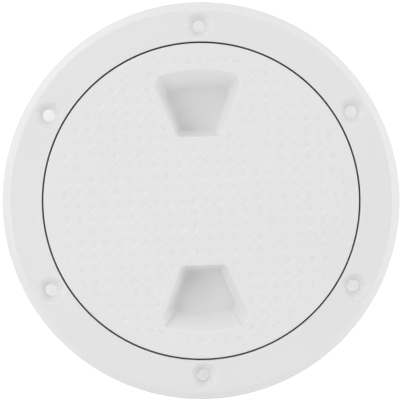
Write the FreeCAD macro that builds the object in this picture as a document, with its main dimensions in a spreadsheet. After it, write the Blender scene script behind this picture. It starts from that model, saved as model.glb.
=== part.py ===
import FreeCAD, Part
import math
import os
import Sketcher
from FreeCAD import Placement, Rotation, Vector

# Deck inspection plate: a ring that is screwed to the deck, a screw-in lid with two finger wells and a
# diamond tread, and the O-ring between them.
# Millimetres, +Z up. z = 0 is the deck that the flange lies on, and the Z axis is the axis of the lid.
# +Y points at the first screw hole, and nearly at the first finger well of a lid that is screwed home.

# Alias, value and meaning of every driving dimension. The radii grow outward from the clear way
# through the ring, and every other size is worked out from these.
DIMENSIONS = [
    ("opening_radius", 63.6, "clear way through the ring, at the crest of its thread"),
    ("thread_height", 1.9, "height of a thread ridge from root to crest"),
    ("thread_base", 2.4, "width of a thread ridge at its root"),
    ("thread_crest", 1.2, "width of a thread ridge at its crest"),
    ("thread_pitch", 5.0, "rise of the thread in one turn"),
    ("thread_turns", 1.25, "turns of thread on the ring, and on the lid"),
    ("thread_lead", 5.5, "height of the ring's lowest ridge over the neck's lower end"),
    ("thread_gap", 0.4, "clearance between a crest and the root it faces"),
    ("thread_play", 0.35, "clearance above the lid's ridge when the lid is home"),
    ("neck_depth", 17.0, "how far the neck reaches below the deck"),
    ("neck_wall", 2.8, "thickness of the neck, and of the wall round the lid's recess"),
    ("neck_gap", 0.3, "clearance between the lid's neck and the ring's bore"),
    ("collar_depth", 2.5, "depth of the thicker collar at the top of the neck"),
    ("lead_in", 0.8, "chamfer at the lower ends of neck and skirt"),
    ("seal_thickness", 2.8, "thickness of the O-ring"),
    ("seal_gap", 0.15, "clearance between the O-ring and the wall on each side of it"),
    ("seal_slack", 0.2, "clearance above the O-ring, and below it"),
    ("flange_height", 6.5, "height of the flange's flat top over the deck"),
    ("flange_skin", 2.6, "thickness of the flange over its hollow underside"),
    ("flange_land", 1.3, "flat between a countersink and the shoulder"),
    ("rim_wall", 3.0, "thickness of the flange's outer wall"),
    ("foot_width", 1.0, "width of the foot that the flange's inner wall stands on beside the collar"),
    ("edge_height", 2.0, "height of the flange's upright outer edge"),
    ("shoulder_run", 3.4, "width of the sloping shoulder, seen from above"),
    ("shoulder_blend", 1.2, "rounding at both ends of the shoulder"),
    ("mouth_blend", 0.3, "rounding of the edge round the lid's recess"),
    ("screw_count", 6, "number of screw holes"),
    ("screw_hole_radius", 2.7, "radius of a screw hole"),
    ("screw_land", 0.9, "flat between a countersink and the lid's recess"),
    ("countersink_width", 3.1, "width and depth of a right-angled countersink"),
    ("countersink_blend", 0.5, "rounding of a countersink's rim"),
    ("boss_wall", 2.8, "thickness of the boss round each screw hole, under the flange"),
    ("ribs_per_screw", 3, "number of ribs under the flange for each screw hole"),
    ("rib_thickness", 1.6, "thickness of a rib under the flange"),
    ("lid_gap", 0.7, "gap between the lid's edge and the ring"),
    ("lid_thickness", 3.0, "thickness of the lid's disc"),
    ("lid_blend", 0.5, "rounding of the lid's edges"),
    ("lid_rim", 5.4, "width of the smooth rim round the tread"),
    ("lid_turn", 1.3, "how far past the screw holes the lid stops, in degrees"),
    ("skirt_wall", 2.4, "thickness of the lid's threaded skirt"),
    ("skirt_lead", 2.5, "height of the lid's lowest ridge over the skirt's lower end"),
    ("web_thickness", 1.8, "thickness of the webs under the lid"),
    ("web_depth", 5.0, "depth of the webs below the lid's disc"),
    ("well_count", 2, "number of finger wells"),
    ("well_inset", 5.9, "distance from the tread's outer edge to a well's curved end"),
    ("well_length", 28.8, "length of a well's mouth, from its curved end to its narrow end"),
    ("well_end_width", 19.3, "width of a well's narrow end at the mouth"),
    ("well_side_angle", 22.2, "angle between a well's side and its middle line, in degrees"),
    ("well_depth", 10.0, "depth of a well below the lid's top"),
    ("well_wall", 2.2, "thickness of a well's shell"),
    ("well_side_draft", 3.4, "how far a side runs in from mouth to floor"),
    ("well_end_draft", 2.8, "how far the narrow end runs in from mouth to floor"),
    ("well_ramp_run", 7.6, "how far the ramp at the curved end runs in from mouth to floor"),
    ("well_outer_corner", 4.0, "corner radius at the curved end"),
    ("well_inner_corner", 2.0, "corner radius at the narrow end"),
    ("well_floor_blend", 1.5, "rounding between a well's floor and its walls"),
    ("well_mouth_blend", 0.5, "rounding of a well's mouth"),
    ("tread_pitch", 5.46, "distance between neighbouring diamonds in a row"),
    ("tread_turn", 0.8, "turn of the rows against the wells, in degrees"),
    ("tread_shift_along", 2.26, "place of one recess along the rows from the lid's axis"),
    ("tread_shift_across", -0.55, "place of one recess across the rows from the lid's axis"),
    ("tread_land", 0.5, "width of the land between the corners of two recesses"),
    ("tread_depth", 0.4, "depth of a diamond recess"),
    ("tread_slope", 0.7, "width of a recess's sloping sides, seen from above"),
    ("tread_border", 2.4, "width of the smooth border round a well's mouth"),
]

SHEET = "Dimensions"

# A form that is fused to another, or cuts it, reaches this much past the face that they share.
OVERLAP = 0.5

# The stump that cuts a tread recess reaches this much over the lid's top.
RECESS_RISE = 0.1

# A recess that the edge of the field cuts off is kept where more than this share of it is left.
SMALLEST_SHARE = 0.12

# Two heights or radii that differ by less than this are the same.
SAME = 1e-4


class Size:
    """A number from the sheet, or worked out from it, with the expression that keeps it live."""

    def __init__(self, number, text=None):
        self.number = number
        self.text = str(number) if text is None else text

    def __add__(self, other):
        other = as_size(other)
        return Size(self.number + other.number, f"({self.text} + {other.text})")

    def __sub__(self, other):
        other = as_size(other)
        return Size(self.number - other.number, f"({self.text} - {other.text})")

    def __mul__(self, other):
        other = as_size(other)
        return Size(self.number * other.number, f"({self.text} * {other.text})")

    def __truediv__(self, other):
        other = as_size(other)
        return Size(self.number / other.number, f"({self.text} / {other.text})")

    def __neg__(self):
        return Size(-self.number, f"(0 - {self.text})")


def as_size(value):
    return value if isinstance(value, Size) else Size(value)


def tangent(angle):
    return Size(math.tan(math.radians(angle.number)), f"tan({angle.text})")


def cosine(angle):
    return Size(math.cos(math.radians(angle.number)), f"cos({angle.text})")


def write_sheet(document):
    """Put the driving dimensions in a sheet, and return them as live sizes."""
    sheet = document.addObject("Spreadsheet::Sheet", SHEET)
    for row, (alias, number, meaning) in enumerate(DIMENSIONS, 1):
        sheet.set(f"A{row}", alias)
        sheet.set(f"B{row}", str(number))
        sheet.set(f"C{row}", meaning)
        sheet.setAlias(f"B{row}", alias)
    document.recompute()
    return {alias: Size(float(sheet.get(alias)), f"{SHEET}.{alias}") for alias, _, _ in DIMENSIONS}


def origin_feature(body, role):
    return next(item for item in body.Origin.OriginFeatures if item.Role == role)


def new_sketch(body, name, role, height=None):
    """A sketch on one of the body's own planes, lifted off it by a live height."""
    sketch = body.newObject("Sketcher::SketchObject", name)
    sketch.AttachmentSupport = [(origin_feature(body, role), "")]
    sketch.MapMode = "FlatFace"
    if height is not None:
        sketch.AttachmentOffset = Placement(Vector(0, 0, height.number), Rotation())
        sketch.setExpression(".AttachmentOffset.Base.z", height.text)
    return sketch


def hold(sketch, kind, *places, size):
    """Add a constraint that has a size, and tie it to the sheet."""
    number = math.radians(size.number) if kind == "Angle" else size.number
    index = sketch.addConstraint(Sketcher.Constraint(kind, *places, number))
    sketch.setExpression(f"Constraints[{index}]", size.text)


def draw_outline(sketch, corners):
    """Draw a closed outline of straight edges, with every corner held at its place."""
    points = [Vector(across.number, up.number, 0) for across, up in corners]
    for start, end in zip(points, points[1:] + points[:1]):
        sketch.addGeometry(Part.LineSegment(start, end))
    for index, (across, up) in enumerate(corners):
        following = (index + 1) % len(corners)
        sketch.addConstraint(Sketcher.Constraint("Coincident", index, 2, following, 1))
        hold(sketch, "DistanceX", -1, 1, index, 1, size=across)
        hold(sketch, "DistanceY", -1, 1, index, 1, size=up)


def revolve(body, name, sketch):
    """Turn a half section about the Z axis."""
    feature = body.newObject("PartDesign::Revolution", name)
    feature.Profile = sketch
    feature.ReferenceAxis = (sketch, ["V_Axis"])
    feature.Angle = 360


def pad(body, name, sketch, length):
    feature = body.newObject("PartDesign::Pad", name)
    feature.Profile = sketch
    feature.setExpression("Length", length.text)
    return feature


def loft(body, kind, name, upper, lower):
    """Join two outlines by straight lines, as a form that is added or removed."""
    feature = body.newObject(kind, name)
    feature.Profile = upper
    feature.Sections = [lower]
    feature.Ruled = True
    return feature


def repeat_round(body, name, feature, count):
    """Copy a feature round the Z axis."""
    pattern = body.newObject("PartDesign::PolarPattern", name)
    pattern.Originals = [feature]
    pattern.Axis = (origin_feature(body, "Z_Axis"), [""])
    pattern.Angle = 360
    pattern.setExpression("Occurrences", count.text)
    body.Tip = pattern


def finish_edges(body, kind, name, base, pick, size_property, size):
    """Fillet or chamfer the edges of the base that the pick function accepts."""
    body.Document.recompute()
    chosen = [f"Edge{number}" for number, edge in enumerate(base.Shape.Edges, 1) if pick(edge)]
    if not chosen:
        raise RuntimeError(f"{name} finds no edge")
    feature = body.newObject(kind, name)
    feature.Base = (base, chosen)
    feature.setExpression(size_property, size.text)
    return feature


def round_edges(body, name, base, pick, radius):
    return finish_edges(body, "PartDesign::Fillet", name, base, pick, "Radius", radius)


def chamfer_edges(body, name, base, pick, width):
    return finish_edges(body, "PartDesign::Chamfer", name, base, pick, "Size", width)


def same(first, second):
    return abs(first - second) < SAME


def circles(*wanted):
    """Pick circular edges by pairs of radius and height."""
    def pick(edge):
        if edge.Curve.TypeId != "Part::GeomCircle":
            return False
        found = edge.Curve
        return any(
            same(found.Radius, radius.number) and same(found.Center.z, height.number)
            for radius, height in wanted
        )
    return pick


def level_loop(height):
    """Pick the level edges of a loop at a height, but no full circle."""
    def pick(edge):
        return len(edge.Vertexes) == 2 and all(same(vertex.Z, height.number) for vertex in edge.Vertexes)
    return pick


def slanting_corners(low, high, is_chosen):
    """Pick edges from one height to another, by the mean distance of their ends from the Z axis."""
    def pick(edge):
        heights = sorted(vertex.Z for vertex in edge.Vertexes)
        reach = sum(math.hypot(vertex.X, vertex.Y) for vertex in edge.Vertexes) / len(edge.Vertexes)
        return same(heights[0], low.number) and same(heights[-1], high.number) and is_chosen(reach)
    return pick


document = FreeCAD.newDocument("deck_inspection_plate")
sizes = write_sheet(document)

# Heights and radii that more than one piece is built from.
deck = Size(0)
lid_top = sizes["flange_height"]
lid_underside = lid_top - sizes["lid_thickness"]
seat_height = lid_underside - sizes["seal_thickness"] - sizes["seal_slack"] * 2
bore_radius = sizes["opening_radius"] + sizes["thread_height"]
lid_neck_radius = bore_radius - sizes["neck_gap"]
recess_radius = lid_neck_radius + sizes["seal_thickness"] + sizes["seal_gap"] * 2
lid_radius = recess_radius - sizes["lid_gap"]
tread_radius = lid_radius - sizes["lid_rim"]
ring_ridge_height = sizes["thread_lead"] - sizes["neck_depth"]

# Heights and distances of the finger wells.
well_floor = lid_top - sizes["well_depth"]
well_arc_radius = tread_radius - sizes["well_inset"]
well_end = well_arc_radius - sizes["well_length"]


def wind_thread(body, name, root_radius, crest_radius, height):
    """Wind a trapezoid ridge up a right-hand helix, with a tongue sunk into the wall it stands on."""
    inward = root_radius.number > crest_radius.number
    tongue_radius = root_radius + OVERLAP if inward else root_radius - OVERLAP
    half_base = sizes["thread_base"] / 2
    half_crest = sizes["thread_crest"] / 2
    section = new_sketch(body, f"{name}Section", "XZ_Plane")
    draw_outline(section, [
        (tongue_radius, height - half_base),
        (tongue_radius, height + half_base),
        (root_radius, height + half_base),
        (crest_radius, height + half_crest),
        (crest_radius, height - half_crest),
        (root_radius, height - half_base),
    ])
    thread = body.newObject("PartDesign::AdditiveHelix", name)
    thread.Profile = section
    thread.ReferenceAxis = (section, ["V_Axis"])
    thread.Mode = "pitch-turns-angle"
    thread.LeftHanded = False
    thread.Reversed = False
    thread.setExpression("Pitch", sizes["thread_pitch"].text)
    thread.setExpression("Turns", sizes["thread_turns"].text)
    return thread


def build_mounting_ring():
    """The flange that is screwed to the deck, and its threaded neck: one moulding."""
    body = document.addObject("PartDesign::Body", "RingBody")
    body.Label = "mounting_ring"

    top = sizes["flange_height"]
    neck_end = -sizes["neck_depth"]
    neck_radius = bore_radius + sizes["neck_wall"]
    collar_radius = recess_radius + sizes["neck_wall"]
    collar_end = -sizes["collar_depth"]
    inner_wall_radius = collar_radius + sizes["foot_width"]
    countersink_radius = sizes["screw_hole_radius"] + sizes["countersink_width"]
    screw_circle = recess_radius + sizes["screw_land"] + countersink_radius
    shoulder_radius = screw_circle + countersink_radius + sizes["flange_land"]
    flange_radius = shoulder_radius + sizes["shoulder_run"]
    cavity_radius = flange_radius - sizes["rim_wall"]
    cavity_top = top - sizes["flange_skin"]

    section = new_sketch(body, "RingSection", "XZ_Plane")
    draw_outline(section, [
        (flange_radius, deck),
        (flange_radius, sizes["edge_height"]),
        (shoulder_radius, top),
        (recess_radius, top),
        (recess_radius, seat_height),
        (bore_radius, seat_height),
        (bore_radius, neck_end),
        (neck_radius, neck_end),
        (neck_radius, collar_end),
        (collar_radius, collar_end),
        (collar_radius, deck),
        (inner_wall_radius, deck),
        (inner_wall_radius, cavity_top),
        (cavity_radius, cavity_top),
        (cavity_radius, deck),
    ])
    revolve(body, "RingTurned", section)

    # Radial ribs across the hollow underside, and a boss for each screw.
    half_rib = sizes["rib_thickness"] / 2
    rib_outline = new_sketch(body, "RibOutline", "XY_Plane")
    draw_outline(rib_outline, [
        (-half_rib, inner_wall_radius - OVERLAP),
        (half_rib, inner_wall_radius - OVERLAP),
        (half_rib, cavity_radius + OVERLAP),
        (-half_rib, cavity_radius + OVERLAP),
    ])
    rib = pad(body, "Rib", rib_outline, cavity_top + OVERLAP)
    repeat_round(body, "Ribs", rib, sizes["screw_count"] * sizes["ribs_per_screw"])

    boss_radius = sizes["screw_hole_radius"] + sizes["boss_wall"]
    boss_outline = new_sketch(body, "BossOutline", "XY_Plane")
    boss_centre = Vector(0, screw_circle.number, 0)
    boss_outline.addGeometry(Part.Circle(boss_centre, Vector(0, 0, 1), boss_radius.number))
    boss_outline.addConstraint(Sketcher.Constraint("PointOnObject", 0, 3, -2))
    hold(boss_outline, "DistanceY", -1, 1, 0, 3, size=screw_circle)
    hold(boss_outline, "Radius", 0, size=boss_radius)
    boss = pad(body, "Boss", boss_outline, cavity_top + OVERLAP)
    repeat_round(body, "Bosses", boss, sizes["screw_count"])

    # A countersunk hole, turned about the last edge of its half section.
    hole_section = new_sketch(body, "HoleSection", "YZ_Plane")
    draw_outline(hole_section, [
        (screw_circle, deck - OVERLAP),
        (screw_circle + sizes["screw_hole_radius"], deck - OVERLAP),
        (screw_circle + sizes["screw_hole_radius"], top - sizes["countersink_width"]),
        (screw_circle + countersink_radius, top),
        (screw_circle + countersink_radius, top + OVERLAP),
        (screw_circle, top + OVERLAP),
    ])
    hole = body.newObject("PartDesign::Groove", "ScrewHole")
    hole.Profile = hole_section
    hole.ReferenceAxis = (hole_section, ["Edge6"])
    hole.Angle = 360
    repeat_round(body, "ScrewHoles", hole, sizes["screw_count"])

    step = wind_thread(body, "RingThread", bore_radius, sizes["opening_radius"], ring_ridge_height)
    for name, edges, radius in [
        ("ShoulderTop", circles((shoulder_radius, top)), sizes["shoulder_blend"]),
        ("ShoulderFoot", circles((flange_radius, sizes["edge_height"])), sizes["shoulder_blend"]),
        ("RecessMouth", circles((recess_radius, top)), sizes["mouth_blend"]),
        ("CountersinkRims", circles((countersink_radius, top)), sizes["countersink_blend"]),
    ]:
        step = round_edges(body, name, step, edges, radius)
    lower_edges = circles((bore_radius, neck_end), (neck_radius, neck_end))
    chamfer_edges(body, "NeckLeadIn", step, lower_edges, sizes["lead_in"])
    return body


def build_seal_ring():
    """The O-ring, in the groove between the lid's neck and the wall of the recess."""
    seal = document.addObject("Part::Torus", "SealTorus")
    seal.Label = "seal_ring"
    seal.setExpression("Radius1", ((recess_radius + lid_neck_radius) / 2).text)
    seal.setExpression("Radius2", (sizes["seal_thickness"] / 2).text)
    seal.setExpression(".Placement.Base.z", ((seat_height + lid_underside) / 2).text)
    return seal


def well_outline(body, name, depth, spread):
    """The sharp-cornered outline of a finger well at a depth below the lid's top, spread by a wall."""
    share = depth / sizes["well_depth"]
    slant = tangent(sizes["well_side_angle"])
    end = well_end + sizes["well_end_draft"] * share - spread
    half_width = (
        sizes["well_end_width"] / 2
        + (end - well_end) * slant
        - sizes["well_side_draft"] * share
        + spread / cosine(sizes["well_side_angle"])
    )
    arc_radius = well_arc_radius - sizes["well_ramp_run"] * share + spread

    # A side leaves the narrow end at its slant and meets the arc after a rise that satisfies
    # (half_width + slant * rise)^2 + (end + rise)^2 = arc_radius^2.
    square = 1 + slant.number ** 2
    linear = half_width.number * slant.number + end.number
    constant = half_width.number ** 2 + end.number ** 2 - arc_radius.number ** 2
    rise = (math.sqrt(linear ** 2 - square * constant) - linear) / square
    far_across = half_width.number + slant.number * rise
    far_along = end.number + rise
    corner_angle = math.atan2(far_along, far_across)

    sketch = new_sketch(body, name, "XY_Plane", lid_top - depth)
    circle = Part.Circle(Vector(0, 0, 0), Vector(0, 0, 1), arc_radius.number)
    near_left = Vector(-half_width.number, end.number, 0)
    near_right = Vector(half_width.number, end.number, 0)
    sketch.addGeometry(Part.ArcOfCircle(circle, corner_angle, math.pi - corner_angle))
    sketch.addGeometry(Part.LineSegment(Vector(-far_across, far_along, 0), near_left))
    sketch.addGeometry(Part.LineSegment(near_left, near_right))
    sketch.addGeometry(Part.LineSegment(near_right, Vector(far_across, far_along, 0)))
    for meeting in [(0, 3, -1, 1), (0, 2, 1, 1), (1, 2, 2, 1), (2, 2, 3, 1), (3, 2, 0, 1)]:
        sketch.addConstraint(Sketcher.Constraint("Coincident", *meeting))
    sketch.addConstraint(Sketcher.Constraint("Symmetric", 2, 1, 2, 2, -2))
    hold(sketch, "DistanceX", 2, 1, 2, 2, size=half_width * 2)
    hold(sketch, "DistanceY", -1, 1, 2, 1, size=end)
    hold(sketch, "Radius", 0, size=arc_radius)
    hold(sketch, "Angle", 3, size=Size(90) - sizes["well_side_angle"])
    hold(sketch, "Angle", 1, size=sizes["well_side_angle"] - 90)
    return sketch


def build_lid_body():
    """The lid without its tread: disc, neck, threaded skirt, webs and finger wells in one moulding."""
    body = document.addObject("PartDesign::Body", "LidBody")

    skirt_radius = sizes["opening_radius"] - sizes["thread_gap"]
    skirt_inside = skirt_radius - sizes["skirt_wall"]
    neck_taper = lid_neck_radius - skirt_radius

    # The lid's ridge runs close under the ring's ridge, however far round the lid stops.
    flank = (sizes["thread_base"] - sizes["thread_crest"]) / 2
    shared_height = (sizes["thread_height"] - sizes["thread_gap"]) / sizes["thread_height"]
    ridge_step = sizes["thread_crest"] + flank * shared_height + sizes["thread_play"]
    turned_rise = sizes["thread_pitch"] * sizes["lid_turn"] / 360
    ridge_height = ring_ridge_height + sizes["thread_pitch"] - ridge_step + turned_rise
    skirt_end = ridge_height - sizes["skirt_lead"]

    section = new_sketch(body, "LidSection", "XZ_Plane")
    draw_outline(section, [
        (deck, lid_top),
        (lid_radius, lid_top),
        (lid_radius, lid_underside),
        (lid_neck_radius, lid_underside),
        (lid_neck_radius, seat_height),
        (skirt_radius, seat_height - neck_taper),
        (skirt_radius, skirt_end),
        (skirt_inside, skirt_end),
        (skirt_inside, lid_underside),
        (deck, lid_underside),
    ])
    revolve(body, "LidTurned", section)

    # Two webs under the disc: one from skirt to skirt, and one from well to well.
    half_web = sizes["web_thickness"] / 2
    cross_reach = skirt_inside + OVERLAP
    middle_reach = well_end + sizes["well_end_draft"] + OVERLAP
    for name, half_across, half_along in [
        ("CrossWeb", cross_reach, half_web),
        ("MiddleWeb", half_web, middle_reach),
    ]:
        outline = new_sketch(body, f"{name}Outline", "XY_Plane", lid_underside - sizes["web_depth"])
        draw_outline(outline, [
            (-half_across, -half_along),
            (half_across, -half_along),
            (half_across, half_along),
            (-half_across, half_along),
        ])
        pad(body, name, outline, sizes["web_depth"] + OVERLAP)

    # Each well is a shell hung under the disc, then hollowed out from above.
    shell_upper = well_outline(body, "ShellUpper", sizes["lid_thickness"] - OVERLAP, sizes["well_wall"])
    shell_lower = well_outline(
        body, "ShellLower", sizes["well_depth"] + sizes["well_wall"], sizes["well_wall"])
    shell = loft(body, "PartDesign::AdditiveLoft", "WellShell", shell_upper, shell_lower)
    repeat_round(body, "WellShells", shell, sizes["well_count"])
    mouth = well_outline(body, "WellMouth", Size(-OVERLAP), Size(0))
    floor = well_outline(body, "WellFloor", sizes["well_depth"], Size(0))
    hollow = loft(body, "PartDesign::SubtractiveLoft", "Well", mouth, floor)
    repeat_round(body, "Wells", hollow, sizes["well_count"])

    step = wind_thread(body, "LidThread", skirt_radius, bore_radius - sizes["thread_gap"], ridge_height)

    # The corners at a well's curved end lie further from the axis than those at its narrow end.
    middle = (well_end.number + well_arc_radius.number) / 2
    shell_floor = well_floor - sizes["well_wall"]
    shell_outer_corner = sizes["well_outer_corner"] + sizes["well_wall"]
    shell_inner_corner = sizes["well_inner_corner"] + sizes["well_wall"]
    for name, low, high, is_chosen, radius in [
        ("OuterCorners", well_floor, lid_top, lambda reach: reach > middle, sizes["well_outer_corner"]),
        ("InnerCorners", well_floor, lid_top, lambda reach: reach < middle, sizes["well_inner_corner"]),
        ("ShellOuter", shell_floor, lid_underside, lambda reach: reach > middle, shell_outer_corner),
        ("ShellInner", shell_floor, lid_underside, lambda reach: reach < middle, shell_inner_corner),
    ]:
        step = round_edges(body, name, step, slanting_corners(low, high, is_chosen), radius)
    for name, edges, radius in [
        ("FloorBlend", level_loop(well_floor), sizes["well_floor_blend"]),
        ("ShellFloorBlend", level_loop(shell_floor), sizes["well_floor_blend"]),
        ("MouthBlend", level_loop(lid_top), sizes["well_mouth_blend"]),
        ("LidEdge", circles((lid_radius, lid_top), (lid_radius, lid_underside)), sizes["lid_blend"]),
    ]:
        step = round_edges(body, name, step, edges, radius)
    lower_edges = circles((skirt_radius, skirt_end), (skirt_inside, skirt_end))
    chamfer_edges(body, "SkirtLeadIn", step, lower_edges, sizes["lead_in"])
    return body


def round_upright(solid, radius, is_chosen):
    """Round a prism's upright edges that stand at a chosen distance from the Z axis."""
    height = solid.BoundBox.ZLength
    chosen = []
    for edge in solid.Edges:
        place = edge.Vertexes[0]
        if same(edge.BoundBox.ZLength, height) and is_chosen(math.hypot(place.X, place.Y)):
            chosen.append(edge)
    return solid.makeFillet(radius, chosen)


def tread_field(border_sketch):
    """The slab that holds the recesses: a round field less a smooth border round each well."""
    height = 2 * (sizes["tread_depth"].number + OVERLAP)
    middle = (well_end.number + well_arc_radius.number) / 2
    outer_corner = (sizes["well_outer_corner"] + sizes["tread_border"]).number
    inner_corner = (sizes["well_inner_corner"] + sizes["tread_border"]).number
    outline = Part.Wire(Part.sortEdges(border_sketch.Shape.Edges)[0])
    border = Part.Face(outline).extrude(Vector(0, 0, height))
    border.translate(Vector(0, 0, -height / 2))
    border = round_upright(border, outer_corner, lambda reach: reach > middle)
    border = round_upright(border, inner_corner, lambda reach: reach < middle)

    field = Part.makeCylinder(tread_radius.number, height, Vector(0, 0, lid_top.number - height / 2))
    wells = round(sizes["well_count"].number)
    for index in range(wells):
        turned = border.copy()
        turned.rotate(Vector(0, 0, 0), Vector(0, 0, 1), 360 * index / wells)
        field = field.cut(turned)
    return field


def tread_recess():
    """One recess on the Z axis: a square stump, wide end up, whose corners point along the rows."""
    slope = math.sqrt(2) * sizes["tread_slope"].number / sizes["tread_depth"].number
    half_mouth = (sizes["tread_pitch"].number - sizes["tread_land"].number) / 2
    wires = []
    for depth in (sizes["tread_depth"].number, -RECESS_RISE):
        half = half_mouth - slope * depth
        height = lid_top.number - depth
        corners = [Vector(half, 0, height), Vector(0, half, height)]
        corners += [Vector(-half, 0, height), Vector(0, -half, height)]
        wires.append(Part.makePolygon(corners + corners[:1]))
    return Part.makeLoft(wires, True, True)


def tread_recesses(field):
    """Recesses in rows over the whole field, cut off at its edges, less the slivers that leaves."""
    recess = tread_recess()
    pitch = sizes["tread_pitch"].number
    reach = tread_radius.number + pitch / 2
    rows = math.ceil(reach / pitch) + 1
    copies = []
    for column in range(-rows, rows + 1):
        for row in range(-rows, rows + 1):
            along = sizes["tread_shift_along"].number + column * pitch
            across = sizes["tread_shift_across"].number + row * pitch
            if math.hypot(along, across) < reach:
                copy = recess.copy()
                copy.translate(Vector(along, across, 0))
                copies.append(copy)
    whole = Part.makeCompound(copies)
    whole.rotate(Vector(0, 0, 0), Vector(0, 0, 1), sizes["tread_turn"].number)
    smallest = SMALLEST_SHARE * recess.Volume
    return Part.makeCompound([solid for solid in whole.common(field).Solids if solid.Volume > smallest])


def build_screw_lid():
    """The lid with its tread, turned to where its thread stops."""
    body = build_lid_body()
    border = well_outline(body, "TreadBorder", Size(0), sizes["tread_border"])
    document.recompute()

    recesses = document.addObject("Part::Feature", "TreadRecesses")
    recesses.Shape = tread_recesses(tread_field(border))

    lid = document.addObject("Part::Cut", "TreadedLid")
    lid.Label = "screw_lid"
    lid.Base = body
    lid.Tool = recesses
    lid.Refine = False
    lid.Placement = Placement(Vector(0, 0, 0), Rotation(Vector(0, 0, 1), sizes["lid_turn"].number))
    lid.setExpression(".Placement.Rotation.Angle", sizes["lid_turn"].text)
    document.recompute()

    removed = body.Shape.Volume - lid.Shape.Volume
    if removed <= 0:
        raise RuntimeError("the tread cuts nothing")
    print(f"tread: {len(recesses.Shape.Solids)} recesses take away {removed:.0f} mm3")
    return lid


parts = [build_mounting_ring(), build_seal_ring(), build_screw_lid()]
document.recompute()

failed = [item.Name for item in document.Objects if {"Invalid", "Error"} & set(item.State)]
if failed:
    raise RuntimeError(f"failed features: {failed}")
for part in parts:
    if part.Shape.isNull() or not part.Shape.isValid() or len(part.Shape.Solids) != 1:
        raise RuntimeError(f"{part.Label} is no valid single solid")

os.makedirs("parts", exist_ok=True)
for part in parts:
    part.Shape.exportStep(f"parts/{part.Label}.step")
    print(f"{part.Label}: {part.Shape.Volume:.0f} mm3, {len(part.Shape.Faces)} faces")
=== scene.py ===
# %% [markdown]
# # Deck inspection plate
# A boat's deck has round openings over its lockers and tanks, and each is closed by a plate like this.
# A white plastic ring is screwed down round the opening, a lid screws into the ring, and a black rubber
# O-ring between the two keeps water out. The lid is walked on, so it has a tread of raised diamonds,
# and two finger wells to turn it by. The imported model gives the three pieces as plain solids. This file
# models each piece again with the soft edges of a moulding, and gives it its plastic or rubber and the
# light of the photograph.

# %% Load the frame
import math

import bmesh
import bpy
from mathutils import Matrix, Vector
from mathutils.bvhtree import BVHTree


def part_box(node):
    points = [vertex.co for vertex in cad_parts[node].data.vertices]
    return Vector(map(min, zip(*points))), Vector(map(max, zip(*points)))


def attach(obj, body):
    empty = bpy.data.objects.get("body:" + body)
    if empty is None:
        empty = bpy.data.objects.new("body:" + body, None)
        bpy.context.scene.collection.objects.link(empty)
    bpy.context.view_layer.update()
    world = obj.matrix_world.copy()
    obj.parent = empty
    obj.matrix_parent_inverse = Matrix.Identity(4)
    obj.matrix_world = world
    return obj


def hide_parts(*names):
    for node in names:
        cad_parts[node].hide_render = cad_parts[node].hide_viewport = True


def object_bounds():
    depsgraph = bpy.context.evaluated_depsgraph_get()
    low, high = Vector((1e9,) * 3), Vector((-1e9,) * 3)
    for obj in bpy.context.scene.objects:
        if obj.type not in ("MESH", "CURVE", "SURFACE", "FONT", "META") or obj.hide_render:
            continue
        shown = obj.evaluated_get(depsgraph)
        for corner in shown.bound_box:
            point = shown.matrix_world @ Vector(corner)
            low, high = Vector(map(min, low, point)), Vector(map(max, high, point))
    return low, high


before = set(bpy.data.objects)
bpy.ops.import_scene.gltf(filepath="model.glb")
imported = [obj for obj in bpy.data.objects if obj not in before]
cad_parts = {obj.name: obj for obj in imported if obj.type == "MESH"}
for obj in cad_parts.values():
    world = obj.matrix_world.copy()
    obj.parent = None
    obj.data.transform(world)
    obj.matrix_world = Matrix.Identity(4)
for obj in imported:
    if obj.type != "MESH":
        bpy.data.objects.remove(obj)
MM = 0.001
solid_box = [list(corner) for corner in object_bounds()]
print("solids:", [[round(value / MM, 1) for value in corner] for corner in solid_box])

# %% [markdown]
# ## Helpers for modelling
# Blender reckons in metres. The sizes below are easier to read in millimetres, so every length is
# multiplied by `MM` where it enters a mesh. Three ways of making a form are used again and again, and
# each gets a small function: turning a half section round the Z axis, as on a lathe; drawing an outline
# down through several levels, as a mould maker's tapered punch; and joining or cutting two finished
# forms with a Boolean modifier. The Boolean is applied at once, so that the next step can work on the
# result.

# %% Pick parts of a mesh
NEAR = 1e-7


def at_height(items, height):
    """Keep the edges or vertices that lie at one height, in millimetres."""
    kept = []
    for item in items:
        verts = item.verts if isinstance(item, bmesh.types.BMEdge) else [item]
        if all(abs(vert.co.z - height * MM) < NEAR for vert in verts):
            kept.append(item)
    return kept


def moved_verts(result):
    """The vertices that an extrusion or a copy has just made."""
    return [item for item in result["geom"] if isinstance(item, bmesh.types.BMVert)]


# %% Make a piece, and combine two


def new_piece(name, mesh):
    """Turn a finished bmesh into an object, with its faces pointing outwards."""
    bmesh.ops.recalc_face_normals(mesh, faces=mesh.faces)
    data = bpy.data.meshes.new(name)
    mesh.to_mesh(data)
    mesh.free()
    piece = bpy.data.objects.new(name, data)
    bpy.context.scene.collection.objects.link(piece)
    return piece


def combine(piece, operation, tool):
    """Join a tool to a piece, cut it away, or keep only what lies inside it, and use the tool up."""
    modifier = piece.modifiers.new("combine", "BOOLEAN")
    modifier.solver = "EXACT"
    modifier.operation = operation
    modifier.object = tool
    bpy.context.view_layer.update()
    graph = bpy.context.evaluated_depsgraph_get()
    shape = bpy.data.meshes.new_from_object(piece.evaluated_get(graph))
    piece.modifiers.clear()
    piece.data = shape
    bpy.data.objects.remove(tool)


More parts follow.
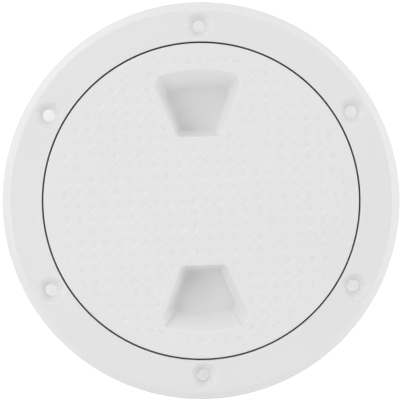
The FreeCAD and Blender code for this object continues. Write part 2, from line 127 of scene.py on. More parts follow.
def measure(piece):
    """Print how large a piece is, and whether its skin is closed."""
    mesh = bmesh.new()
    mesh.from_mesh(piece.data)
    gaps = sum(1 for edge in mesh.edges if not edge.is_manifold)
    volume = mesh.calc_volume(signed=True) / MM ** 3
    print(f"{piece.name}: {len(mesh.faces)} faces, {gaps} gaps in the skin, {volume:.0f} mm3")
    mesh.free()


# %% Round a corner of an outline


def round_corner(mesh, point, radius, segments=5):
    """Replace a corner by an arc of a given radius."""
    before, after = [edge.other_vert(point).co - point.co for edge in point.link_edges]
    bmesh.ops.bevel(
        mesh, geom=[point], affect="VERTICES", offset=radius * MM / math.tan(before.angle(after) / 2),
        segments=segments, profile=0.5, material=-1)


# %% Turn a half section
TURN_STEPS = 180


def turned(section):
    """Turn a closed half section round the Z axis; each corner has a radius, a height and a rounding."""
    mesh = bmesh.new()
    corners = [mesh.verts.new((radius * MM, 0, height * MM)) for radius, height, _ in section]
    mesh.faces.new(corners)
    for corner, (_, _, rounding) in zip(corners, section):
        if rounding:
            round_corner(mesh, corner, rounding)
    bmesh.ops.delete(mesh, geom=mesh.faces[:], context="FACES_ONLY")
    bmesh.ops.spin(
        mesh, geom=mesh.verts[:] + mesh.edges[:], axis=(0, 0, 1), cent=(0, 0, 0),
        angle=2 * math.pi, steps=TURN_STEPS, use_merge=True)
    return mesh


# %% Draw an outline down through levels


def draw_down(mesh, levels):
    """Extrude a mesh's one face through levels of height and half width, into a closed form."""
    cap = next(iter(mesh.faces))
    for (height, width), (next_height, next_width) in zip(levels, levels[1:]):
        result = bmesh.ops.extrude_face_region(mesh, geom=[cap])
        if height != levels[0][0]:
            bmesh.ops.delete(mesh, geom=[cap], context="FACES_ONLY")
        cap = next(item for item in result["geom"] if isinstance(item, bmesh.types.BMFace))
        verts = moved_verts(result)
        share = next_width / width
        bmesh.ops.scale(mesh, verts=verts, vec=(share, share, 1))
        bmesh.ops.translate(mesh, verts=verts, vec=(0, 0, (next_height - height) * MM))


def round_form(levels, segments):
    """A round form on the Z axis with a given radius at each level."""
    mesh = bmesh.new()
    height, radius = levels[0]
    bmesh.ops.create_circle(mesh, cap_ends=True, radius=radius * MM, segments=segments)
    bmesh.ops.translate(mesh, verts=mesh.verts, vec=(0, 0, height * MM))
    draw_down(mesh, levels)
    return mesh


def bar(half_across, half_along, low, high):
    """A straight bar across the Z axis."""
    mesh = bmesh.new()
    bmesh.ops.create_cube(mesh, size=2 * MM)
    bmesh.ops.scale(mesh, verts=mesh.verts, vec=(half_across, half_along, (high - low) / 2))
    bmesh.ops.translate(mesh, verts=mesh.verts, vec=(0, 0, (high + low) / 2 * MM))
    return mesh


# %% Repeat a form round the axis


def repeated(mesh, count, distance=0.0):
    """Move a form out along +Y and copy it round the Z axis, with the first copy left where it is."""
    bmesh.ops.translate(mesh, verts=mesh.verts, vec=(0, distance * MM, 0))
    first = mesh.verts[:] + mesh.edges[:] + mesh.faces[:]
    for index in range(1, count):
        copy = bmesh.ops.duplicate(mesh, geom=first)
        bmesh.ops.rotate(
            mesh, verts=moved_verts(copy), cent=(0, 0, 0),
            matrix=Matrix.Rotation(2 * math.pi * index / count, 3, "Z"))
    return mesh


# %% [markdown]
# ## Screw thread
# Ring and lid each carry one and a quarter turns of a coarse ridge with sloping flanks, which a mould
# can make and a wet hand can start. A ridge is a helix: its section is spun round the axis while every
# step also lifts it a little. The section has a tongue that sinks into the wall, so the Boolean that
# joins them has no faces lying on each other.

# %% A thread ridge
THREAD_PITCH = 5.0
THREAD_TURNS = 1.25
THREAD_ROOT_WIDTH = 2.4
THREAD_CREST_WIDTH = 1.2
OVERLAP = 0.5


def thread_ridge(root, crest, height):
    """A ridge from a root radius to a crest radius that starts at a height over +X."""
    tongue = root + OVERLAP if crest < root else root - OVERLAP
    section = [
        (tongue, -THREAD_ROOT_WIDTH / 2),
        (tongue, THREAD_ROOT_WIDTH / 2),
        (root, THREAD_ROOT_WIDTH / 2),
        (crest, THREAD_CREST_WIDTH / 2),
        (crest, -THREAD_CREST_WIDTH / 2),
        (root, -THREAD_ROOT_WIDTH / 2),
    ]
    mesh = bmesh.new()
    mesh.faces.new([mesh.verts.new((radius * MM, 0, (height + rise) * MM)) for radius, rise in section])
    steps = round(TURN_STEPS * THREAD_TURNS)
    bmesh.ops.spin(
        mesh, geom=mesh.faces[:], axis=(0, 0, 1), cent=(0, 0, 0), angle=2 * math.pi * THREAD_TURNS,
        steps=steps, dvec=(0, 0, THREAD_PITCH * THREAD_TURNS / steps * MM))
    return mesh


# %% [markdown]
# ## Mounting ring
# The ring is one moulding: a flange with a sloping shoulder that lies on the deck, and a threaded neck
# that hangs through it. Its half section holds nearly all of its form, and every edge a hand meets is
# rounded in that section, because a rounding is easiest to make there, before the turning.

# %% Turn the ring
FLANGE_TOP = 6.5
FLANGE_RADIUS = 85.5
SHOULDER_RADIUS = 82.1
SHOULDER_FOOT = 2.0
RECESS_RADIUS = 68.3
BORE_RADIUS = 65.5
SEAT_HEIGHT = 0.3
NECK_RADIUS = 68.3
NECK_END = -17.0
COLLAR_RADIUS = 71.1
COLLAR_END = -2.5
CAVITY_RADIUS = 82.5
CAVITY_TOP = 3.9
INNER_WALL_RADIUS = 72.1

# Radius, height and rounding of each corner, from the flange's lower rim over the top and round.
ring_section = [
    (FLANGE_RADIUS, 0, 0.3),
    (FLANGE_RADIUS, SHOULDER_FOOT, 1.2),
    (SHOULDER_RADIUS, FLANGE_TOP, 1.2),
    (RECESS_RADIUS, FLANGE_TOP, 0.35),
    (RECESS_RADIUS, SEAT_HEIGHT, 0.2),
    (BORE_RADIUS, SEAT_HEIGHT, 0.2),
    (BORE_RADIUS, NECK_END, 0.6),
    (NECK_RADIUS, NECK_END, 0.8),
    (NECK_RADIUS, COLLAR_END, 0.3),
    (COLLAR_RADIUS, COLLAR_END, 0.4),
    (COLLAR_RADIUS, 0, 0.2),
    (INNER_WALL_RADIUS, 0, 0.2),
    (INNER_WALL_RADIUS, CAVITY_TOP, 0.4),
    (CAVITY_RADIUS, CAVITY_TOP, 0.4),
    (CAVITY_RADIUS, 0, 0.3),
]
ring = new_piece("ring_moulding", turned(ring_section))
measure(ring)

# %% [markdown]
# Under the flange the moulding is hollow, or the thick plastic would sink in at the top as it cools.
# Ribs across the hollow and a boss round each screw keep the flange stiff when the screws pull it down.
# They are simple forms set half inside the walls and joined to them.

# %% Ribs, bosses and thread
SCREW_COUNT = 6
SCREW_CIRCLE = 75.0
BOSS_RADIUS = 5.5
BOSS_SEGMENTS = 48
RIB_COUNT = 18
RIB_THICKNESS = 1.6
RIB_END = 0.2
RING_THREAD_CREST = 63.6
RING_THREAD_HEIGHT = -11.5

rib_length = CAVITY_RADIUS - INNER_WALL_RADIUS + 2 * OVERLAP
rib = bar(RIB_THICKNESS / 2, rib_length / 2, RIB_END, CAVITY_TOP + OVERLAP)
ribs = repeated(rib, RIB_COUNT, (CAVITY_RADIUS + INNER_WALL_RADIUS) / 2)
boss = round_form([(CAVITY_TOP + OVERLAP, BOSS_RADIUS), (0.0, BOSS_RADIUS)], BOSS_SEGMENTS)
bosses = repeated(boss, SCREW_COUNT, SCREW_CIRCLE)
ring_thread = thread_ridge(BORE_RADIUS, RING_THREAD_CREST, RING_THREAD_HEIGHT)
for name, form in [("ribs", ribs), ("bosses", bosses), ("ring_thread", ring_thread)]:
    combine(ring, "UNION", new_piece(name, form))
measure(ring)

# %% [markdown]
# A screw hole has a cone for the screw's head, and the cone's rim is rounded. Instead of rounding that
# edge afterwards, the punch that cuts the hole flares out where it passes the flange's top. The Boolean
# then leaves the rounding behind.

# %% Screw holes
HOLE_RADIUS = 2.7
DISH_RADIUS = 5.62
DISH_END = 3.4
FLARE_RADIUS = 6.6
PUNCH_SEGMENTS = 72

# Height and radius: the flare above the flange, the rim's rounding, the cone and the straight hole.
PUNCH_LEVELS = [
    (FLANGE_TOP + 0.70, FLARE_RADIUS),
    (FLANGE_TOP + 0.03, FLARE_RADIUS),
    (FLANGE_TOP - 0.02, DISH_RADIUS + 0.27),
    (FLANGE_TOP - 0.08, DISH_RADIUS + 0.13),
    (FLANGE_TOP - 0.18, DISH_RADIUS),
    (DISH_END, HOLE_RADIUS),
    (-OVERLAP, HOLE_RADIUS),
]

screw_punches = repeated(round_form(PUNCH_LEVELS, PUNCH_SEGMENTS), SCREW_COUNT, SCREW_CIRCLE)
combine(ring, "DIFFERENCE", new_piece("screw_hole_punches", screw_punches))
measure(ring)

# %% [markdown]
# ## O-ring
# The seal is a plain rubber ring of round section, which lies in the groove between the lid's neck and
# the wall of the ring's recess. A circle is set upright beside the axis and spun round it.

# %% Spin the O-ring
SEAL_RADIUS = 66.75
SEAL_THICKNESS = 2.8
SEAL_HEIGHT = 1.9
SEAL_SEGMENTS = 24

torus = bmesh.new()
bmesh.ops.create_circle(torus, radius=SEAL_THICKNESS / 2 * MM, segments=SEAL_SEGMENTS)
bmesh.ops.rotate(torus, verts=torus.verts, cent=(0, 0, 0), matrix=Matrix.Rotation(math.pi / 2, 3, "X"))
bmesh.ops.translate(torus, verts=torus.verts, vec=(SEAL_RADIUS * MM, 0, SEAL_HEIGHT * MM))
bmesh.ops.spin(
    torus, geom=torus.verts[:] + torus.edges[:], axis=(0, 0, 1), cent=(0, 0, 0),
    angle=2 * math.pi, steps=TURN_STEPS, use_merge=True)
seal = new_piece("o_ring", torus)
measure(seal)

# %% [markdown]
# ## Lid
# The lid is one moulding too: a disc, a neck that squeezes the O-ring, and a threaded skirt. Its half
# section stops short of the axis, and the two round holes that this leaves get one flat face each.
# A disc of thin triangles that all meet at the axis would make poor work for the Booleans to come.

# %% Turn the lid
LID_TOP = 6.5
LID_UNDERSIDE = 3.5
LID_RADIUS = 67.6
LID_NECK_RADIUS = 65.2
SKIRT_RADIUS = 63.2
SKIRT_TOP = -1.7
SKIRT_INSIDE = 60.8
SKIRT_END = -11.0
DISC_MIDDLE = 20.0

lid_section = [
    (DISC_MIDDLE, LID_TOP, 0),
    (LID_RADIUS, LID_TOP, 0.5),
    (LID_RADIUS, LID_UNDERSIDE, 0.5),
    (LID_NECK_RADIUS, LID_UNDERSIDE, 0.2),
    (LID_NECK_RADIUS, SEAT_HEIGHT, 0.3),
    (SKIRT_RADIUS, SKIRT_TOP, 0.3),
    (SKIRT_RADIUS, SKIRT_END, 0.7),
    (SKIRT_INSIDE, SKIRT_END, 0.5),
    (SKIRT_INSIDE, LID_UNDERSIDE, 0.6),
    (DISC_MIDDLE, LID_UNDERSIDE, 0),
]
disc = turned(lid_section)
middle = [
    face for face in disc.faces
    if all(vert.co.xy.length < (DISC_MIDDLE + 1) * MM for vert in face.verts)
]
bmesh.ops.delete(disc, geom=middle, context="FACES")
for height in (LID_TOP, LID_UNDERSIDE):
    rim = at_height([edge for edge in disc.edges if edge.is_boundary], height)
    bmesh.ops.edgeloop_fill(disc, edges=rim)
lid = new_piece("lid_moulding", disc)
measure(lid)

# %% [markdown]
# ## Finger wells
# A finger well has a wide curved end that ramps down to a flat floor, and a narrow end for the
# fingertips to pull against. Seen from above its outline is a wedge: an arc round the lid's axis, two
# sides that slant together, and a short straight end. Every wall leans outwards towards the mouth, so
# that the moulding leaves its mould, and the outline at the floor is smaller than the one at the mouth.
# One function draws the outline at any depth, also spread outwards by a wall's thickness or a border's
# width, and another bridges two outlines into a solid form.

# %% A well's outline at a depth
WELL_DEPTH = 10.0
WELL_ARC = 56.3
WELL_END = 27.5
WELL_END_WIDTH = 19.3
WELL_SLANT = math.tan(math.radians(22.2))
END_DRAFT = 2.8
SIDE_DRAFT = 3.4
RAMP_RUN = 7.6
ARC_STEPS = 5
ARC_CUTS = 4
ARC_PIECE = 2.5
ARC_NEAR = 0.25


def well_outline(mesh, depth, spread, outer_corner, inner_corner):
    """Draw a well's rounded outline at a depth under the lid's top, spread outwards."""
    share = depth / WELL_DEPTH
    arc_radius = WELL_ARC - RAMP_RUN * share + spread
    end = WELL_END + END_DRAFT * share - spread
    half_end = WELL_END_WIDTH / 2 + (end - WELL_END) * WELL_SLANT - SIDE_DRAFT * share
    half_end += spread * math.hypot(1, WELL_SLANT)

    # A side starts at (half_end, end) and meets the arc where its distance from the axis is arc_radius.
    square = 1 + WELL_SLANT ** 2
    middle_term = half_end * WELL_SLANT + end
    rest = half_end ** 2 + end ** 2 - arc_radius ** 2
    rise = (math.sqrt(middle_term ** 2 - square * rest) - middle_term) / square
    half_arc = math.atan2(half_end + WELL_SLANT * rise, end + rise)

    height = LID_TOP - depth
    across = arc_radius * math.sin(half_arc)
    along = arc_radius * math.cos(half_arc)
    start = mesh.verts.new((across * MM, along * MM, height * MM))
    arc = bmesh.ops.spin(
        mesh, geom=[start], axis=(0, 0, 1), cent=(0, 0, 0), angle=2 * half_arc, steps=ARC_STEPS)
    stop = arc["geom_last"][0]
    near_left = mesh.verts.new((-half_end * MM, end * MM, height * MM))
    near_right = mesh.verts.new((half_end * MM, end * MM, height * MM))
    for ends in [(stop, near_left), (near_left, near_right), (near_right, start)]:
        mesh.edges.new(ends)
    bmesh.ops.contextual_create(mesh, geom=at_height(mesh.edges, height))
    for corner in (start, stop):
        round_corner(mesh, corner, outer_corner)
    for corner in (near_left, near_right):
        round_corner(mesh, corner, inner_corner)

    # The arc has only a few straight pieces so far; it is divided finer and set back on its circle.
    least = (arc_radius - ARC_NEAR) * MM
    on_arc = {vert for vert in at_height(mesh.verts, height) if vert.co.xy.length > least}
    pieces = [
        edge for edge in mesh.edges
        if set(edge.verts) <= on_arc and edge.calc_length() > ARC_PIECE * MM
    ]
    bmesh.ops.subdivide_edges(mesh, edges=pieces, cuts=ARC_CUTS)
    for vert in at_height(mesh.verts, height):
        if vert.co.xy.length > least:
            vert.co.xy *= arc_radius * MM / vert.co.xy.length
    return at_height(mesh.edges, height)


# %% A well's form between two depths


def well_form(upper, lower, floor_rounding=0.0):
    """Bridge two outlines, round the lower one's rim, and copy the form across the lid.

    An outline is given by its depth, its spread and the radii of its outer and inner corners.
    """
    mesh = bmesh.new()
    bmesh.ops.bridge_loops(mesh, edges=well_outline(mesh, *upper) + well_outline(mesh, *lower))
    if floor_rounding:
        rim = at_height(mesh.edges, LID_TOP - lower[0])
        bmesh.ops.bevel(
            mesh, geom=rim, affect="EDGES", offset=floor_rounding * MM,
            segments=5, profile=0.5, material=-1)
    return repeated(mesh, 2)


# %% [markdown]
# From below, each well is a closed shell that hangs under the disc, and two webs stiffen the disc
# between them. Shells, webs and thread are joined to the lid first, and then the wells are cut out of
# it all from above. The lid's thread starts at the height where it runs 0.35 mm under the ring's thread
# when the lid is screwed home.

# %% Shells, webs and thread
WELL_WALL = 2.2
SHELL_UPPER = (2.5, WELL_WALL, 6.2, 4.2)
SHELL_LOWER = (WELL_DEPTH + WELL_WALL, WELL_WALL, 5.0, 4.2)
SHELL_ROUNDING = 1.5
WEB_THICKNESS = 1.8
WEB_BOTTOM = -1.5
WEB_TOP = LID_UNDERSIDE + OVERLAP
LID_THREAD_CREST = 65.1
LID_THREAD_HEIGHT = -8.506

cross_web = bar(SKIRT_INSIDE + OVERLAP, WEB_THICKNESS / 2, WEB_BOTTOM, WEB_TOP)
middle_web = bar(WEB_THICKNESS / 2, WELL_END + END_DRAFT + OVERLAP, WEB_BOTTOM, WEB_TOP)
shells = well_form(SHELL_UPPER, SHELL_LOWER, SHELL_ROUNDING)
lid_thread = thread_ridge(SKIRT_RADIUS, LID_THREAD_CREST, LID_THREAD_HEIGHT)
for name, form in [
    ("cross_web", cross_web),
    ("middle_web", middle_web),
    ("well_shells", shells),
    ("lid_thread", lid_thread),
]:
    combine(lid, "UNION", new_piece(name, form))
measure(lid)

# %% Cut the wells and round their mouths
HOLLOW_UPPER = (-OVERLAP, 0, 4.0, 2.0)
HOLLOW_LOWER = (WELL_DEPTH, 0, 2.0, 1.2)
FLOOR_ROUNDING = 0.3
MOUTH_ROUNDING = 0.4
MOUTH_ANGLE = math.radians(30)

hollows = well_form(HOLLOW_UPPER, HOLLOW_LOWER, FLOOR_ROUNDING)
combine(lid, "DIFFERENCE", new_piece("well_hollows", hollows))
cut_lid = bmesh.new()
cut_lid.from_mesh(lid.data)
mouths = [
    edge for edge in at_height(cut_lid.edges, LID_TOP)
    if edge.verts[0].co.xy.length < (WELL_ARC + 1) * MM and edge.calc_face_angle() > MOUTH_ANGLE
]
bmesh.ops.bevel(
    cut_lid, geom=mouths, affect="EDGES", offset=MOUTH_ROUNDING * MM,
    segments=5, profile=0.5, material=-1)
cut_lid.to_mesh(lid.data)
cut_lid.free()
measure(lid)

# %% [markdown]
# ## Diamond tread
# Wet feet slip on smooth plastic, so the lid's top is covered with diamonds that stand 0.4 mm proud of
# the recesses between them. It is simpler to model the recesses: each is a shallow punch with rounded
# corners, whose sides run in a soft S from the diamonds' tops down to the recess's floor. More than
# three hundred and fifty of them would be slow to model one by one, so one punch is made with a few
# dozen faces, and its mesh is copied to each place in the rows.
#
# The rows end at a smooth rim and at a smooth border round each well. The slab called the field has that
# outline, and what reaches out of it is taken off the punches before they cut the lid. The slab's edge
# slopes inwards as it goes down, so a recess that is cut short ends in a slope like its other sides. A
# punch that would barely touch the field is not placed at all.

# %% The field that the tread fills
TREAD_RADIUS = 62.2
TREAD_BORDER = 2.4
EDGE_SLOPE = 1.5
FIELD_HALF = 0.6
FIELD_RUN = FIELD_HALF * EDGE_SLOPE
FIELD_LEVELS = [
    (LID_TOP + FIELD_HALF, TREAD_RADIUS + FIELD_RUN),
    (LID_TOP - FIELD_HALF, TREAD_RADIUS - FIELD_RUN),
]
BORDER_HALF = 0.7
BORDER_RUN = BORDER_HALF * EDGE_SLOPE
BORDER_UPPER = (-BORDER_HALF, TREAD_BORDER - BORDER_RUN, 6.4, 4.4)
BORDER_LOWER = (BORDER_HALF, TREAD_BORDER + BORDER_RUN, 6.4, 4.4)

field = new_piece("tread_field", round_form(FIELD_LEVELS, 2 * TURN_STEPS))
borders = well_form(BORDER_UPPER, BORDER_LOWER)
combine(field, "DIFFERENCE", new_piece("well_borders", borders))
measure(field)

# %% One recess
TREAD_PITCH = 5.46
RECESS_HALF = 1.754
RECESS_CORNER = 0.6

# Height and half width of the recess, from just above the lid's top down to its floor.
RECESS_LEVELS = [
    (LID_TOP + 0.02, RECESS_HALF + 0.30),
    (LID_TOP - 0.02, RECESS_HALF + 0.10),
    (LID_TOP - 0.08, RECESS_HALF - 0.06),
    (LID_TOP - 0.32, RECESS_HALF - 0.60),
    (LID_TOP - 0.38, RECESS_HALF - 0.78),
    (LID_TOP - 0.40, RECESS_HALF - 1.00),
]

mouth_height, mouth_half = RECESS_LEVELS[0]
punch = bmesh.new()
bmesh.ops.create_circle(punch, cap_ends=True, radius=mouth_half * math.sqrt(2) * MM, segments=4)
bmesh.ops.translate(punch, verts=punch.verts, vec=(0, 0, mouth_height * MM))
for corner in punch.verts[:]:
    round_corner(punch, corner, RECESS_CORNER, segments=2)
draw_down(punch, RECESS_LEVELS)
bmesh.ops.recalc_face_normals(punch, faces=punch.faces)
recess = bpy.data.meshes.new("recess")
punch.to_mesh(recess)
punch.free()
print("recess:", len(recess.polygons), "faces")

# %% Rows of recesses
ROW_SHIFT = Vector((2.26, -0.55, 0))
ROW_TURN = Matrix.Rotation(math.radians(0.8), 4, "Z")
ROWS = range(-12, 13)
EDGE_REACH = 0.8

field_copy = bmesh.new()
field_copy.from_mesh(field.data)
field_tree = BVHTree.FromBMesh(field_copy)
field_copy.free()
row_punches = bmesh.new()
placed = 0
for column in ROWS:
    for row in ROWS:
        place = ROW_TURN @ ((ROW_SHIFT + Vector((column, row, 0)) * TREAD_PITCH) * MM)
        over_field = place + Vector((0, 0, (LID_TOP + FIELD_HALF) * MM))
        if field_tree.find_nearest(over_field)[3] < EDGE_REACH * MM:
            copy = recess.copy()
            copy.transform(Matrix.Translation(place) @ ROW_TURN)
            row_punches.from_mesh(copy)
            bpy.data.meshes.remove(copy)
            placed += 1
bpy.data.meshes.remove(recess)
recesses = new_piece("tread_recesses", row_punches)
print("recesses placed:", placed)

# %% Cut the tread, and turn the lid
# The photographed lid stops a little over a degree past the row of screw holes.
LID_TURN = math.radians(1.3)

combine(recesses, "INTERSECT", field)
combine(lid, "DIFFERENCE", recesses)
lid.data.transform(Matrix.Rotation(LID_TURN, 4, "Z"))
measure(lid)

# %% [markdown]
# ## Smooth shading
# Curved walls should shade smoothly and real edges should stay crisp, so faces that meet at less than
# 35 degrees are shaded as one. The Weighted Normal modifier then lets large flat faces keep their own
# direction, so the roundings beside them take all the turn of the light.

# %% Shade, and put each piece in its node's place
CRISP_ANGLE = math.radians(35)

for piece, node, body, slot in [
    (ring, "mounting_ring", "frame", "white_plastic"),
    (seal, "seal_ring", "seal", "seal_rubber"),
    (lid, "screw_lid", "lid", "white_plastic"),
]:
    piece.data.shade_smooth()
    piece.data.set_sharp_from_angle(angle=CRISP_ANGLE)
    weigh = piece.modifiers.new("weighted_normals", "WEIGHTED_NORMAL")
    weigh.keep_sharp = True
    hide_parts(node)
    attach(piece, body)
    low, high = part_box(node)
    print(node, [round(value / MM, 2) for value in low], [round(value / MM, 2) for value in high])

# %% [markdown]
# ## Colours and nodes
# A colour is easiest to pick and to recognise as the hex value that a screen shows. Blender reckons with
# linear light instead, so one function turns the first into the second. A second function adds a shader
# node, sets its inputs and makes its links, which keeps each material down to the nodes that matter. A
# third starts a material with no nodes.

# %% Small helpers for materials


def linear(hex_colour):
    """Turn a hex colour as a screen shows it into the linear colour that a shader reads."""
    channels = [int(hex_colour[start:start + 2], 16) / 255 for start in (1, 3, 5)]
    return [
        value / 12.92 if value <= 0.04045 else ((value + 0.055) / 1.055) ** 2.4
        for value in channels
    ] + [1.0]


def add_node(material, kind, settings=None, values=None, links=None):
    """Add a node, set its properties and its inputs, and link other nodes' outputs to its inputs."""
    node = material.node_tree.nodes.new(kind)
    for name, value in (settings or {}).items():
        setattr(node, name, value)
    for name, value in (values or {}).items():
        node.inputs[name].default_value = value
    for name, output in (links or {}).items():
        material.node_tree.links.new(output, node.inputs[name])
    return node


def new_material(name):
    """A material whose nodes are all still to be added."""
    material = bpy.data.materials.new(name)
    material.use_nodes = True
    material.node_tree.nodes.clear()
    return material


# %% [markdown]
# ## White moulded plastic
# Ring and lid are injection mouldings of ASA, a relative of ABS that stays white in the sun. A mould for
# such a part is spark-eroded or blasted, which leaves a fine matt grain on the plastic: its highlights
# are broad and soft. The real grain is about 0.1 mm, too fine to show here, so it is drawn at 0.7 mm and
# kept very low. A slow, faint drift in tone stands for the plastic's flow as it filled the mould.

# %% White plastic
DRIFT_SIZE = 45.0
PLASTIC_GRAIN = 0.7


def moulded_asa(name, bright, dull, roughness, grain_height):
    """White ASA with a fine eroded grain and a slight drift in tone."""
    material = new_material(name)
    place = add_node(material, "ShaderNodeTexCoord")
    drift = add_node(
        material, "ShaderNodeTexNoise",
        values={"Scale": 1 / (DRIFT_SIZE * MM), "Detail": 3.0, "Roughness": 0.5},
        links={"Vector": place.outputs["Object"]})
    tone = add_node(
        material, "ShaderNodeMix", settings={"data_type": "RGBA"},
        values={"A": linear(bright), "B": linear(dull)},
        links={"Factor": drift.outputs["Fac"]})
    grain = add_node(
        material, "ShaderNodeTexNoise",
        values={"Scale": 1 / (PLASTIC_GRAIN * MM), "Detail": 2.0, "Roughness": 0.6},
        links={"Vector": place.outputs["Object"]})
    bump = add_node(
        material, "ShaderNodeBump",
        values={"Strength": 1.0, "Distance": grain_height * MM},
        links={"Height": grain.outputs["Fac"]})
    plastic = add_node(
        material, "ShaderNodeBsdfPrincipled",
        values={"Roughness": roughness, "IOR": 1.52},
        links={"Base Color": tone.outputs["Result"], "Normal": bump.outputs["Normal"]})
    add_node(material, "ShaderNodeOutputMaterial", links={"Surface": plastic.outputs["BSDF"]})
    return material


ring_plastic = moulded_asa("asa_white_ring", "#E5E5E5", "#E1E1E1", 0.42, 0.004)
lid_plastic = moulded_asa("asa_white_lid", "#E7E7E7", "#E3E3E3", 0.4, 0.006)
print("plastics:", ring_plastic.name, lid_plastic.name)

# %% [markdown]
# ## Black rubber
# O-rings for water are of nitrile rubber. It is nearly black, a little shiny from its grease, and has a
# faint grain from its mould.

# %% O-ring rubber
RUBBER_GRAIN = 0.8
RUBBER_GRAIN_HEIGHT = 0.01


def moulded_nitrile(name):
    """Black nitrile rubber, greased, with a faint grain."""
    material = new_material(name)
    place = add_node(material, "ShaderNodeTexCoord")
    grain = add_node(
        material, "ShaderNodeTexNoise",
        values={"Scale": 1 / (RUBBER_GRAIN * MM), "Detail": 2.0, "Roughness": 0.5},
        links={"Vector": place.outputs["Object"]})
    bump = add_node(
        material, "ShaderNodeBump",
        values={"Strength": 1.0, "Distance": RUBBER_GRAIN_HEIGHT * MM},
        links={"Height": grain.outputs["Fac"]})
    rubber = add_node(
        material, "ShaderNodeBsdfPrincipled",
        values={"Base Color": linear("#161616"), "Roughness": 0.5, "IOR": 1.5},
        links={"Normal": bump.outputs["Normal"]})
    add_node(material, "ShaderNodeOutputMaterial", links={"Surface": rubber.outputs["BSDF"]})
    return material


seal_rubber = moulded_nitrile("nitrile_black")
print("rubber:", seal_rubber.name)

# %% Give the pieces their materials


def dress(piece, material):
    """Give a piece one material and no other."""
    piece.data.materials.clear()
    piece.data.materials.append(material)


dress(ring, ring_plastic)
dress(lid, lid_plastic)
dress(seal, seal_rubber)

# %% [markdown]
# ## Floor
# The plate was photographed on a pure white ground. A white floor alone comes out light grey and shows
# the plate's soft shadow, so this one also glows. Only the camera sees the glow, which lights nothing.
# It is weaker inside the flange's edge, where the ground shows through the screw holes. There the glow is
# painted light that sets the grey of the shaded ground seen through the holes. At the edge the glow rises
# to full strength, which paints over the plate's shadow.

# %% Floor
FLOOR_HEIGHT = solid_box[0][2]
FLOOR_SIZE = 6.0

floor_mesh = bmesh.new()
bmesh.ops.create_grid(floor_mesh, x_segments=1, y_segments=1, size=FLOOR_SIZE / 2)
floor_data = bpy.data.meshes.new("floor")
floor_mesh.to_mesh(floor_data)
floor_mesh.free()
floor = bpy.data.objects.new("floor", floor_data)
floor.location.z = FLOOR_HEIGHT
bpy.context.scene.collection.objects.link(floor)

GLOW_START = FLANGE_RADIUS - 1.0
GLOW_FULL = FLANGE_RADIUS + 1.5
GLOW_STRENGTH = 0.45
# Painted light: the shaded ground under the flange glows to a set grey, and full glow starts right at the
# flange's edge.
HOLE_GROUND_PAINTED_LIGHT = 0.18

floor_white = new_material("floor_white")
rays = add_node(floor_white, "ShaderNodeLightPath")
spot = add_node(floor_white, "ShaderNodeTexCoord")
reach = add_node(
    floor_white, "ShaderNodeVectorMath", settings={"operation": "LENGTH"},
    links={"Vector": spot.outputs["Object"]})
glow_strength = add_node(
    floor_white, "ShaderNodeMapRange",
    values={
        "From Min": GLOW_START * MM,
        "From Max": GLOW_FULL * MM,
        "To Min": HOLE_GROUND_PAINTED_LIGHT,
        "To Max": GLOW_STRENGTH,
    },
    links={"Value": reach.outputs["Value"]})
paper = add_node(floor_white, "ShaderNodeBsdfDiffuse", values={"Color": linear("#F2F2F2")})
glow = add_node(
    floor_white, "ShaderNodeEmission", values={"Color": linear("#FFFFFF")},
    links={"Strength": glow_strength.outputs["Result"]})
lit = add_node(floor_white, "ShaderNodeMixShader", links={"Fac": rays.outputs["Is Camera Ray"]})
both = add_node(floor_white, "ShaderNodeAddShader")
floor_white.node_tree.links.new(paper.outputs["BSDF"], both.inputs[0])
floor_white.node_tree.links.new(glow.outputs["Emission"], both.inputs[1])
floor_white.node_tree.links.new(paper.outputs["BSDF"], lit.inputs[1])
floor_white.node_tree.links.new(both.outputs["Shader"], lit.inputs[2])
add_node(floor_white, "ShaderNodeOutputMaterial", links={"Surface": lit.outputs["Shader"]})
dress(floor, floor_white)

# %% [markdown]
# ## Light and camera
# The light in the photograph is soft and comes from all round, a little stronger from the right and from
# the left. White surroundings give the evenness. Large area lamps do the modelling: those near the
# horizon draw the tread and the shoulder, and three higher ones light the floors of the wells. The
# camera itself sees the surroundings as pure white.

# %% World
WORLD_STRENGTH = 0.46

world = bpy.data.worlds.new("studio")
world.use_nodes = True
world.node_tree.nodes.clear()
seen = add_node(world, "ShaderNodeLightPath")
sky_strength = add_node(
    world, "ShaderNodeMix", settings={"data_type": "FLOAT"},
    values={"A": WORLD_STRENGTH, "B": 1.0},
    links={"Factor": seen.outputs["Is Camera Ray"]})
sky = add_node(world, "ShaderNodeBackground", links={"Strength": sky_strength.outputs["Result"]})
sky.inputs["Color"].default_value = linear("#FFFFFF")
add_node(world, "ShaderNodeOutputWorld", links={"Surface": sky.outputs["Background"]})
bpy.context.scene.world = world

# %% Lamps
LAMP_DISTANCE = 1.6
LAMP_SIDE = 0.9

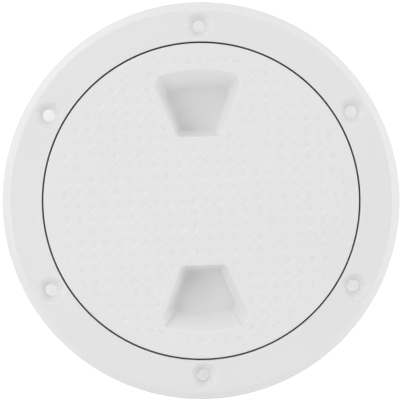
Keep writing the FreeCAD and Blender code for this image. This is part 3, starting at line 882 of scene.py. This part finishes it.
# Name, angle from +X towards +Y, angle over the horizon, and power in watts.
LAMPS = [
    ("right_low", 0, 15, 8.5),
    ("left_high", 180, 40, 8.0),
    ("top_high", 90, 40, 4.5),
    ("top_low", 90, 15, 4.0),
    ("bottom_low", 270, 15, 3.5),
    ("left_low", 180, 15, 3.5),
    ("bottom_right_high", 315, 40, 3.5),
]


def add_lamp(name, angle, height, power):
    """A square area lamp at a place round the plate, turned to face it."""
    lamp = bpy.data.lights.new(f"lamp_{name}", "AREA")
    lamp.shape = "SQUARE"
    lamp.size = LAMP_SIDE
    lamp.energy = power
    outward = Vector((
        math.cos(math.radians(angle)) * math.cos(math.radians(height)),
        math.sin(math.radians(angle)) * math.cos(math.radians(height)),
        math.sin(math.radians(height)),
    ))
    holder = bpy.data.objects.new(f"lamp_{name}", lamp)
    holder.location = outward * LAMP_DISTANCE
    holder.rotation_euler = outward.to_track_quat("Z", "Y").to_euler()
    bpy.context.scene.collection.objects.link(holder)


for lamp_values in LAMPS:
    add_lamp(*lamp_values)
print("lamps:", len(LAMPS))

# %% [markdown]
# The camera looks down from a metre above the plate. It stands 21 mm off the axis, which is just enough
# to shift the ground seen through the screw holes against their rims, as in the photograph, and it is
# rolled by a fraction of a degree to line up the row of holes.

# %% Camera
VIEW_CENTRE = Vector((-0.48 * MM, 0.12 * MM, 0.0))
VIEW_WIDTH = 172.75 * MM
CAMERA_PLACE = Vector((-15 * MM, 15 * MM, 1.0))
CAMERA_ROLL = math.radians(0.75)
SENSOR_WIDTH = 36

camera_data = bpy.data.cameras.new("camera")
camera_data.lens = SENSOR_WIDTH * CAMERA_PLACE.z / VIEW_WIDTH
camera_data.sensor_width = SENSOR_WIDTH
camera_data.clip_start = 0.1
camera_data.clip_end = 20
camera = bpy.data.objects.new("camera", camera_data)
camera.location = CAMERA_PLACE
lean = (CAMERA_PLACE - VIEW_CENTRE).normalized()
turn = Vector((0, 0, 1)).rotation_difference(lean).to_matrix()
roll = Matrix.Rotation(-CAMERA_ROLL, 3, "Z")
camera.rotation_euler = (turn @ roll).to_euler()
bpy.context.scene.collection.objects.link(camera)
bpy.context.scene.camera = camera
bpy.context.scene.view_settings.view_transform = "Standard"
